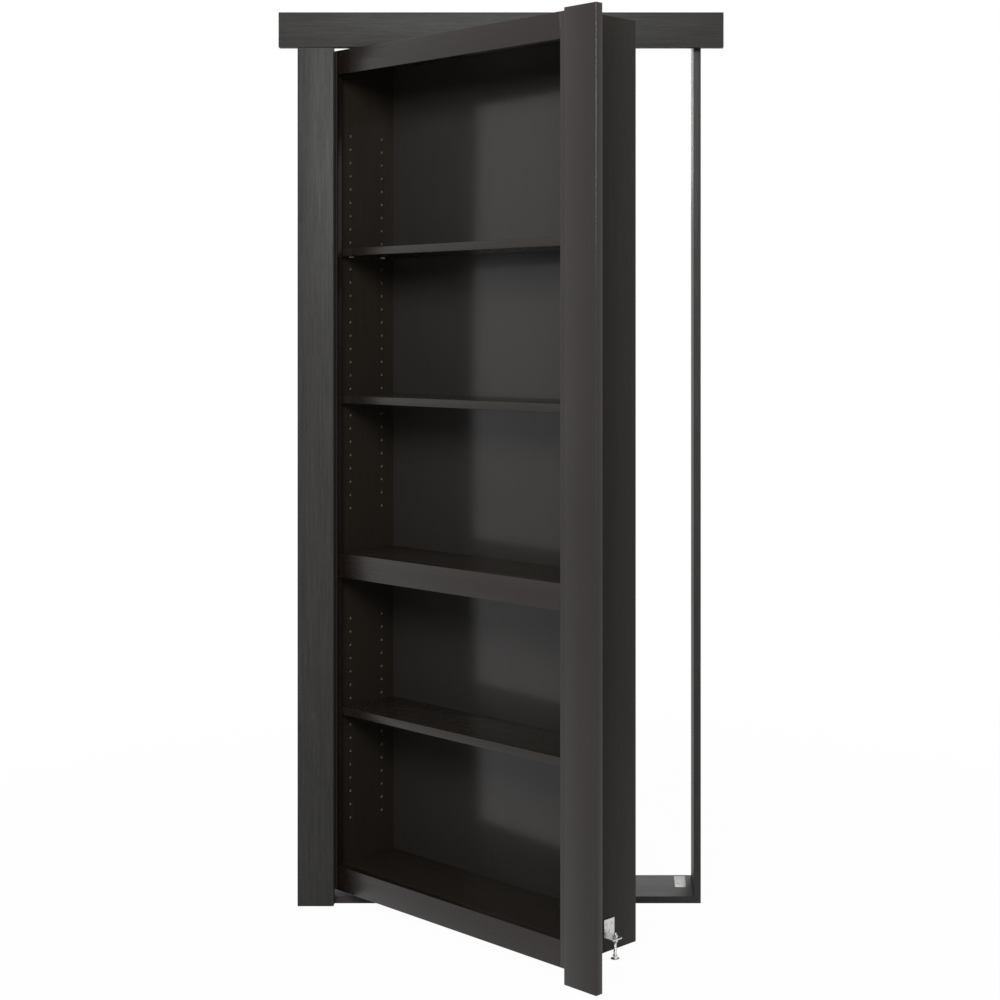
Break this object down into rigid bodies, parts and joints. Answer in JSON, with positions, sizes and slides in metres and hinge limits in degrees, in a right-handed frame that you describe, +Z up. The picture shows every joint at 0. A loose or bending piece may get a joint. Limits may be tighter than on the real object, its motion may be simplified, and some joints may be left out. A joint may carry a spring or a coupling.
{
  "type": "hidden door bookcase",
  "caption": "Bookcase that swings as a hidden door in its own jambs, sill and casings, with a face frame, loose shelves and a levelling foot.",
  "frame": {"origin": "middle of the doorway's width and of the jambs' depth, on the floor under the sill", "axes": "+X along the wall from the hinge side to the latch side, +Y through the wall away from the casings, +Z up"},
  "size_m": [1.055, 0.7854, 2.119],
  "materials": {
    "espresso_wood": "espresso stain under satin lacquer",
    "case_wood": "espresso stain under satin lacquer",
    "back_wood": "dark stained veneer, satin",
    "zinc_steel": "bright zinc plated steel",
    "dark_steel": "dark bronze coated steel",
    "nickel_steel": "nickel plated steel"
  },
  "bodies": {
    "surround": {"hinge_jamb": "espresso_wood", "latch_jamb": "espresso_wood", "head_jamb": "espresso_wood", "sill": "espresso_wood", "hinge_casing": "espresso_wood", "head_casing": "espresso_wood", "fixed_hinge_leaf": "dark_steel", "hinge_pin": "dark_steel", "strike_plate": "zinc_steel", "strike_screw_1": "zinc_steel", "strike_screw_2": "zinc_steel"},
    "bookcase": {"hinge_side_panel": "case_wood", "latch_side_panel": "case_wood", "top_panel": "case_wood", "fixed_shelf": "case_wood", "bottom_panel": "case_wood", "back_panel": "back_wood", "hinge_stile": "espresso_wood", "latch_stile": "espresso_wood", "top_rail": "espresso_wood", "middle_rail": "espresso_wood", "bottom_rail": "espresso_wood", "latch_casing": "espresso_wood", "moving_hinge_leaf": "dark_steel", "upper_support_hinge_front": "nickel_steel", "upper_support_hinge_back": "nickel_steel", "upper_support_latch_front": "nickel_steel", "upper_support_latch_back": "nickel_steel", "middle_support_hinge_front": "nickel_steel", "middle_support_hinge_back": "nickel_steel", "middle_support_latch_front": "nickel_steel", "middle_support_latch_back": "nickel_steel", "lower_support_hinge_front": "nickel_steel", "lower_support_hinge_back": "nickel_steel", "lower_support_latch_front": "nickel_steel", "lower_support_latch_back": "nickel_steel", "foot_bracket": "zinc_steel", "bracket_screw_1": "zinc_steel", "bracket_screw_2": "zinc_steel", "bracket_screw_3": "zinc_steel", "lower_foot_nut": "zinc_steel", "upper_foot_nut": "zinc_steel"},
    "upper_shelf": {"upper_shelf": "case_wood"},
    "middle_shelf": {"middle_shelf": "case_wood"},
    "lower_shelf": {"lower_shelf": "case_wood"},
    "levelling_foot": {"foot_stem": "zinc_steel", "foot_pad": "zinc_steel"}
  },
  "joints": [
    {"name": "door_hinge", "type": "hinge", "parent": "surround", "child": "bookcase", "pos_m": [-0.3934, -0.08685, 1], "axis": [0, 0, -1], "range_deg": [-43.4, 61.6]},
    {"name": "upper_shelf_lift", "type": "slide", "parent": "bookcase", "child": "upper_shelf", "axis": [0, 0, 1], "range_m": [0, 0.03]},
    {"name": "middle_shelf_lift", "type": "slide", "parent": "bookcase", "child": "middle_shelf", "axis": [0, 0, 1], "range_m": [0, 0.03]},
    {"name": "lower_shelf_lift", "type": "slide", "parent": "bookcase", "child": "lower_shelf", "axis": [0, 0, 1], "range_m": [0, 0.03]},
    {"name": "foot_slide", "type": "slide", "parent": "bookcase", "child": "levelling_foot", "axis": [0, 0, 1], "range_m": [-0.019, 0.012]}
  ]
}
